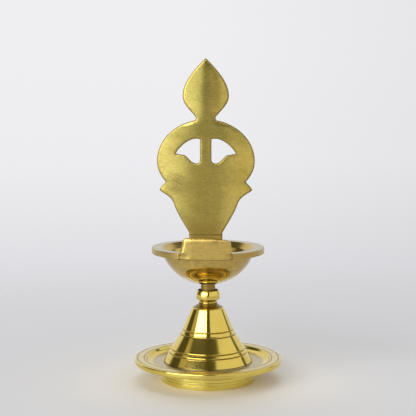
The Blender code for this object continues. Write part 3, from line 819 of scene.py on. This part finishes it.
def cut_flat(piece, face):
    """Cut away what lies in front of an upright flat, turned to the bowl's stop."""
    mesh = bmesh.new()
    bmesh.ops.create_cube(mesh, size=1)
    bmesh.ops.scale(mesh, vec=(60 * MM, 10 * MM, 8 * MM), verts=mesh.verts)
    bmesh.ops.translate(mesh, vec=(0, (face - 5) * MM, (RIM_TOP - 1) * MM), verts=mesh.verts)
    data = bpy.data.meshes.new("flat_cutter")
    turned_to_stop(mesh).to_mesh(data)
    mesh.free()
    cutter = bpy.data.objects.new("flat_cutter", data)
    bpy.context.scene.collection.objects.link(cutter)
    cut = piece.modifiers.new("flat", "BOOLEAN")
    cut.operation = "DIFFERENCE"
    cut.object = cutter
    cut.solver = "EXACT"
    depsgraph = bpy.context.evaluated_depsgraph_get()
    result = bpy.data.meshes.new_from_object(piece.evaluated_get(depsgraph))
    piece.modifiers.clear()
    piece.data = result
    bpy.data.objects.remove(cutter)


def make_bracket(finishes):
    """Filed tab, flush with the rim's edge, with its left end filed round."""
    top = RIM_TOP + TAB_RISE
    side = [(-12.3, RIM_TOP - 0.1), (-11.5, RIM_TOP + 1.3), (-10.95, RIM_TOP + 3.4), (-10.55, RIM_TOP + 5.6)]
    outline = rounded([(TAB_LEFT, RIM_UNDERSIDE + 0.1), (TAB_RIGHT, RIM_UNDERSIDE + 0.1),
                       (11.9, RIM_TOP + 1.0), (11.3, top - 1.7, 0.8), (8.6, top - 0.6, 3.0),
                       (3.0, top - 0.2, 3.0), (-9.7, top, 1.6), *side[::-1], (TAB_LEFT, RIM_TOP - 0.7)], 8)

    def left_end(z):
        for (x, low), (after, high) in zip(side, side[1:]):
            if z < high:
                return x + (after - x) * max(0.0, (z - low) / (high - low))
        return side[-1][0]

    def face(x, z, reach):
        turn = min(1.0, max(0.0, (left_end(z) + 1.7 - x) / 1.8))
        bow = 1.7 * (1 - sqrt(1 - turn * turn)) + 0.012 * max(0.0, -5.0 - x) ** 2
        # Below the rim's top its ends run round into the rim's edge
        ring = RIM_RADIUS - sqrt(RIM_RADIUS ** 2 - x * x)
        end = min(1.0, max(0.0, (-6.0 - x) / 6.4, (x - 9.0) / 3.0))
        low = min(1.0, max(0.0, (RIM_TOP + 0.8 - z) / 1.9))
        bow += low * low * (3 - 2 * low) * (ring * end * end * (3 - 2 * end) - bow)
        return -RIM_RADIUS + 0.03 + bow + 0.17 * max(0.0, z - top + 1.6) ** 2 + wobble(x, z, 4.0, 0.05, 3.0)

    def rear(x, z, reach):
        in_channel = abs(x) < CHANNEL_HALF and z > RIM_TOP - 0.2
        return PLATE_FACE - CHANNEL_GAP if in_channel else -RIM_RADIUS + TAB_THICKNESS

    mesh = turned_to_stop(slab([[Vector(p) for p in outline]], face, rear, 0.3, 0.33))
    add_piece("bracket_tab", mesh, "plate_bracket", "bowl_top", finishes["tab"], 50)


# Back plate

def plate_half_outline():
    """Right half of the plate's outline, from the tip down to the tongue's foot."""
    tip, finial, neck = (0.25, 151.75), (10.35, 135.0), (4.3, 125.3)
    point, waist, tongue = (20.9, 93.1), (14.3, 86.7), (TONGUE_HALF, 73.8)
    points = [Vector(tip)]
    points += curve(tip, (8.05, 144.1), (10.35, 139.4), finial, steps=30)
    points += curve(finial, (10.35, 130.8), (4.3, 126.7), neck, steps=20)
    start, notch = pi / 2 - 0.22, -pi / 2 + 0.96
    for k in range(61):
        angle = start + (notch - start) * k / 60
        drop = 18.8 if angle > 0 else 16.0
        points.append(Vector((HEAD_RADIUS * cos(angle), HEAD_HEIGHT + drop * sin(angle))))
    notch_point = tuple(points[-1])
    points += curve(notch_point, (notch_point[0] + 0.3, 96.0), (20.3, 94.7), point, steps=6)
    points += curve(point, (20.05, 91.7), (15.65, 90.7), waist, steps=16)
    points += curve(waist, (13.3, 83.0), (9.0, 76.6), tongue, steps=24)
    points.append(Vector((TONGUE_HALF, RIM_TOP + 0.1)))
    return points


def plate_opening(side):
    """Outline of one opening beside the middle bar: round above, swept like a leaf below."""
    top, tip, step = (2.55, HEAD_HEIGHT + 9.9), (13.35, HEAD_HEIGHT + 3.4), (9.5, HEAD_HEIGHT + 2.7)
    lowest, foot = (4.3, HEAD_HEIGHT - 1.0), (2.55, HEAD_HEIGHT + 0.6)
    points = [Vector(top)]
    points += curve(top, (7.4, HEAD_HEIGHT + 11.6), (13.6, HEAD_HEIGHT + 4.6), tip, steps=20)
    points.append(Vector(step))
    points += curve(step, (8.2, HEAD_HEIGHT + 2.2), (6.6, HEAD_HEIGHT - 1.0), lowest, steps=12)
    points += curve(lowest, (3.3, HEAD_HEIGHT - 1.0), (2.55, HEAD_HEIGHT - 0.2), foot, steps=6)
    ring = [Vector((side * point.x, point.y)) for point in points]
    return ring if side > 0 else ring[::-1]


def petal(x, z, foot_z, angle, length, width):
    """Height, 0 to 1, of one raised petal that stands on a point of the middle line."""
    along = x * sin(angle) + (z - foot_z) * cos(angle)
    across = x * cos(angle) - (z - foot_z) * sin(angle)
    t = along / length
    if not 0 < t < 1:
        return 0.0
    half = width * sin(pi * t ** 0.75) ** 0.8
    if half <= 0:
        return 0.0
    s = abs(across) / half
    return max(0.0, 1 - s * s) ** 0.5 * (1 - 0.25 * exp(-(across / 0.35) ** 2))


def relief(x, z, reach):
    """Height in mm of the cast relief on the plate's far side: a border, petals and leaf veins."""
    border = exp(-((reach - 1.5) / 0.55) ** 2) * 0.55
    height = border
    if reach > 2.3:
        if z < HEAD_FOOT:
            petals = [petal(x, z, 78.5, radians(a), 20 - abs(a) * 0.06, 2.6) for a in (-52, -26, 0, 26, 52)]
            height += max(petals) * 0.6
        if z > LEAF_FOOT:
            vein = exp(-(x / 0.4) ** 2)
            ribs = [exp(-(((z - z0) - abs(x) * 0.9) / 0.35) ** 2) for z0 in (128.5, 132, 135.5, 139, 142.5)]
            height += max([vein] + ribs) * 0.35
        if HEAD_FOOT < z < BEADS_TOP:
            turn = radians(BEAD_STEP * round(degrees(clock_angle(x, z - HEAD_HEIGHT)) / BEAD_STEP))
            bead = Vector((18.2 * sin(turn), HEAD_HEIGHT + 15.4 * cos(turn)))
            gap = hypot(x - bead.x, z - bead.y)
            height += max(0.0, 1 - (gap / 0.75) ** 2) ** 0.5 * 0.45 if gap < 0.75 else 0.0
    return height


def clock_angle(across, up):
    """Angle from straight up, clockwise."""
    return Vector((0, 1)).angle_signed(Vector((across, up)), 0.0)


def make_back_plate(finishes):
    """Back plate: a gently crowned brushed side, and a cast relief on its far side."""
    right = plate_half_outline()
    left = [Vector((-point.x, point.y)) for point in right]
    outline = left + right[::-1]

    def crown(x, z):
        finial = min(1.0, max(0.0, (z - 122) / 6))
        bow = (1 - finial) * 3.2e-4 * abs(x) ** 2.7 + finial * 0.0105 * x * x
        return bow + wobble(x, z, 9, 0.05, 0.0)

    def plain_side(x, z, reach):
        return PLATE_FACE + crown(x, z) + 0.05 * exp(-reach / 0.8)

    def cast_side(x, z, reach):
        return PLATE_BACK - 0.45 + relief(x, z, reach) + wobble(x, z, 3, 0.05, 9.0)

    mesh = slab([outline, plate_opening(1), plate_opening(-1)], plain_side, cast_side, 0.35, 0.6)
    add_piece("crowned_back_plate", turned_to_stop(mesh), "back_plate", "bowl_top",
              finishes["plate"], 50)


# Studio

def panel(tree, way, bearing, left, right, low, high, side_soft, end_soft):
    """1 inside an upright rectangle that faces the lamp from a bearing, seen from the lamp.

    left and right are bearings of its sides, low and high are elevations of its edges at its
    middle, and the rest are how soft its sides and ends are, all in degrees. Bearings run from the
    camera's side towards +X.
    """
    facing = radians(bearing)
    ahead = add(tree, "ShaderNodeVectorMath", {0: way, 1: (sin(facing), -cos(facing), 0)},
                operation="DOT_PRODUCT").outputs["Value"]
    across = add(tree, "ShaderNodeVectorMath", {0: way, 1: (cos(facing), sin(facing), 0)},
                 operation="DOT_PRODUCT").outputs["Value"]
    up = add(tree, "ShaderNodeSeparateXYZ", {"Vector": way}).outputs["Z"]
    near = maths(tree, "MAXIMUM", ahead, 0.001)
    sides = window(tree, maths(tree, "DIVIDE", across, near), tan(radians(left - bearing)),
                   tan(radians(right - bearing)), tan(radians(side_soft)))
    ends = window(tree, maths(tree, "DIVIDE", up, near), tan(radians(low)), tan(radians(high)),
                  tan(radians(end_soft)))
    return maths(tree, "MULTIPLY", sides, ends)


def make_studio():
    """Pale surroundings with a soft light on the left, a white panel on the right and one above."""
    world = bpy.data.worlds.new("studio")
    bpy.context.scene.world = world
    world.use_nodes = True
    tree = world.node_tree
    tree.nodes.clear()
    way = add(tree, "ShaderNodeTexCoord").outputs["Generated"]
    split = add(tree, "ShaderNodeSeparateXYZ", {"Vector": way})
    toward = maths(tree, "MULTIPLY", split.outputs["Y"], -1.0)
    bearing = maths(tree, "MULTIPLY", maths(tree, "ARCTAN2", split.outputs["X"], toward), 180 / pi)
    height = maths(tree, "MULTIPLY", maths(tree, "ARCSINE", split.outputs["Z"]), 180 / pi)
    spread = maths(tree, "ABSOLUTE", bearing)

    # The backdrop and table, paler with height, seen all the way round below the horizon
    level = add(tree, "ShaderNodeMapRange", {"Value": height, "From Min": -14.0, "From Max": 2.0})
    backdrop = ramp(tree, level.outputs["Result"], [(0, "#D5D4D8"), (0.25, "#DBDADE"), (0.38, "#E2E1E5"),
                                                    (0.5, "#E7E7EA"), (0.66, "#EDEDEF"), (1, "#EFEFF1")])
    # It falls off a little to the right
    fall = add(tree, "ShaderNodeMapRange", {"Value": split.outputs["X"], "From Min": -0.02, "From Max": 0.2,
                                            "To Min": 1.0, "To Max": 0.92})
    backdrop = add(tree, "ShaderNodeVectorMath", {0: backdrop, "Scale": fall.outputs["Result"]},
                   operation="SCALE").outputs["Vector"]
    # The table ends in front, with a duller zone on its right that darkens lower down
    near = soft_step(tree, height, -24.0, -8.0)
    front = maths(tree, "MULTIPLY", window(tree, bearing, -15.0, 0.5, 6.0), near)
    mixed = add(tree, "ShaderNodeMix", {"Factor": front, "A": backdrop, "B": linear("#9D9A8C")},
                data_type="RGBA").outputs["Result"]
    beside = window(tree, bearing, 3.0, 110.0, 6.0)
    deep = soft_step(tree, height, -12.0, -24.0)
    side = add(tree, "ShaderNodeMix", {"Factor": deep, "A": linear("#D8D0BE"), "B": linear("#B8B0A2")},
               data_type="RGBA").outputs["Result"]
    mixed = add(tree, "ShaderNodeMix", {"Factor": beside, "A": mixed, "B": side},
                data_type="RGBA").outputs["Result"]
    # The room on the camera's side is dark above the table
    room = soft_step(tree, spread, 129.0, 117.0)
    above = soft_step(tree, height, -4.0, 4.0)
    shade = maths(tree, "MULTIPLY", room, above)
    mixed = add(tree, "ShaderNodeMix", {"Factor": shade, "A": mixed, "B": linear("#55533F")},
                data_type="RGBA")
    total = mixed.outputs["Result"]

    # The mask, colour and strength of each light
    lights = (
        (panel(tree, way, -30.0, -66.0, -8.5, 9.0, 37.5, 3.5, 2.0), "#FDFEFF", 5.6),
        (panel(tree, way, -48.0, -66.0, -34.0, 1.0, 10.0, 4.0, 2.0), "#FFFEFA", 4.0),
        (panel(tree, way, -30.0, -66.0, -8.5, -6.0, 9.0, 3.5, 4.0), "#F0FBFF", 0.6),
        (panel(tree, way, -75.0, -90.0, -70.0, 1.0, 42.0, 2.5, 2.5), "#FFF2D8", 0.45),
        (panel(tree, way, 63.0, 11.0, 113.0, 1.0, 50.0, 3.0, 2.0), "#FFFDF8", 0.8),
        (soft_step(tree, height, 60.0, 72.0), "#FFFFFF", 0.9),
    )
    for mask, colour, strength in lights:
        light = add(tree, "ShaderNodeMix", {"Factor": 1.0, "A": linear(colour), "B": mask},
                    data_type="RGBA", blend_type="MULTIPLY").outputs["Result"]
        scaled = add(tree, "ShaderNodeVectorMath", {0: light, "Scale": strength}, operation="SCALE")
        total = add(tree, "ShaderNodeVectorMath", {0: total, 1: scaled.outputs["Vector"]},
                    operation="ADD").outputs["Vector"]
    background = add(tree, "ShaderNodeBackground", {"Color": total, "Strength": 1.0})
    add(tree, "ShaderNodeOutputWorld", {"Surface": background.outputs["Background"]})


def make_table():
    """Pale table top that fades into the backdrop."""
    bpy.ops.mesh.primitive_circle_add(vertices=128, radius=1.2, fill_type="NGON", location=(0, 0, 0))
    table = bpy.context.object
    table.name = "table_top"
    paint = bpy.data.materials.new("matt_white_table")
    paint.use_nodes = True
    tree = paint.node_tree
    shader = tree.nodes["Principled BSDF"]
    shader.inputs["Roughness"].default_value = 0.6
    place = object_place(tree)
    far = add(tree, "ShaderNodeVectorMath", {0: place}, operation="LENGTH").outputs["Value"]
    # Warm light thrown back by the brass lies round the foot
    warm = add(tree, "ShaderNodeMapRange", {"Value": far, "From Max": 0.12})
    paint_colour = ramp(tree, warm.outputs["Result"], [(0, "#F4EDE2"), (0.2, "#F2EAE0"), (0.32, "#ECE8E3"),
                                                       (0.6, "#DFDEE0"), (1, "#DADADF")])
    tree.links.new(paint_colour, shader.inputs["Base Color"])
    fade = soft_step(tree, far, 0.09, 0.4)
    clear = add(tree, "ShaderNodeBsdfTransparent")
    mix = add(tree, "ShaderNodeMixShader", {0: fade, 1: shader.outputs["BSDF"], 2: clear.outputs["BSDF"]})
    tree.links.new(mix.outputs["Shader"], tree.nodes["Material Output"].inputs["Surface"])
    table.data.materials.append(paint)


def make_camera():
    """A long lens, slightly above the bowl and looking a little down."""
    data = bpy.data.cameras.new("camera")
    data.sensor_width = 36
    data.lens = CAMERA_LENS
    camera = bpy.data.objects.new("camera", data)
    camera.location = (0, -CAMERA_DISTANCE * MM, CAMERA_HEIGHT * MM)
    camera.rotation_euler = (radians(90 - CAMERA_DIP), 0, 0)
    bpy.context.scene.collection.objects.link(camera)
    bpy.context.scene.camera = camera


def build():
    """Make every piece, then the studio round them."""
    make_camera()
    finishes = make_finishes()
    make_dish(finishes)
    make_cone(finishes)
    make_fasteners(finishes)
    make_peg(finishes)
    make_bowl(finishes)
    make_bracket(finishes)
    make_back_plate(finishes)
    make_studio()
    make_table()
    bpy.context.scene.view_settings.view_transform = "Standard"


build()
